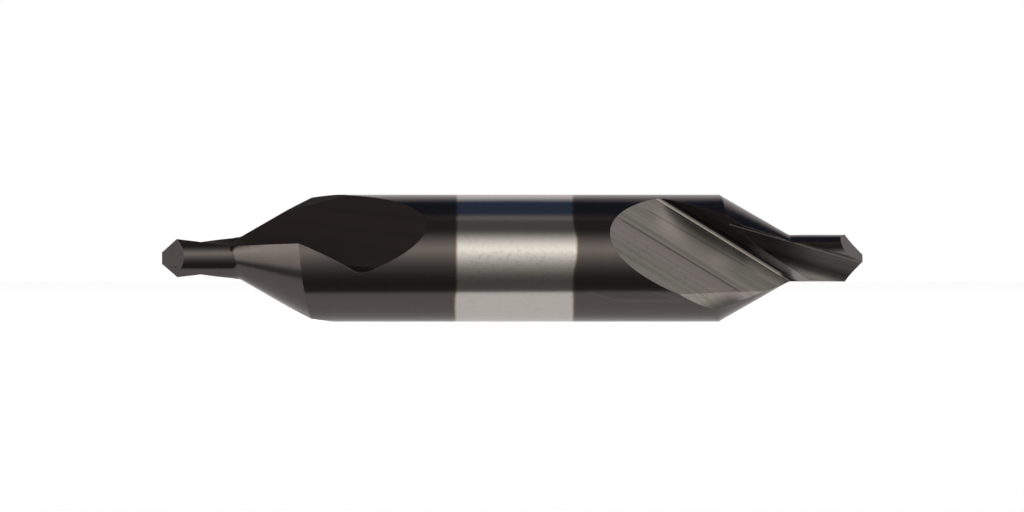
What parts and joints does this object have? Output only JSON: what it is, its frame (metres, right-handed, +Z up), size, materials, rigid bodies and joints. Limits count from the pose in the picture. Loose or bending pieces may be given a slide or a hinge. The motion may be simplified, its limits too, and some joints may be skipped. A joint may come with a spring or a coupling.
{
  "type": "centre drill",
  "caption": "Double-ended centre drill: a round body with a short fluted pilot and a 60 degree countersink on each end, dark coated with a bare ground band round the middle.",
  "frame": {"origin": "middle of the overall length, on the drill's axis", "axes": "+X along the axis towards the right end, +Z up, -Y towards the front"},
  "size_m": [0.0552, 0.01, 0.01],
  "materials": {
    "tool_steel": "ground, dark coated"
  },
  "bodies": {
    "root": {"centre_drill": "tool_steel"}
  },
  "joints": []
}
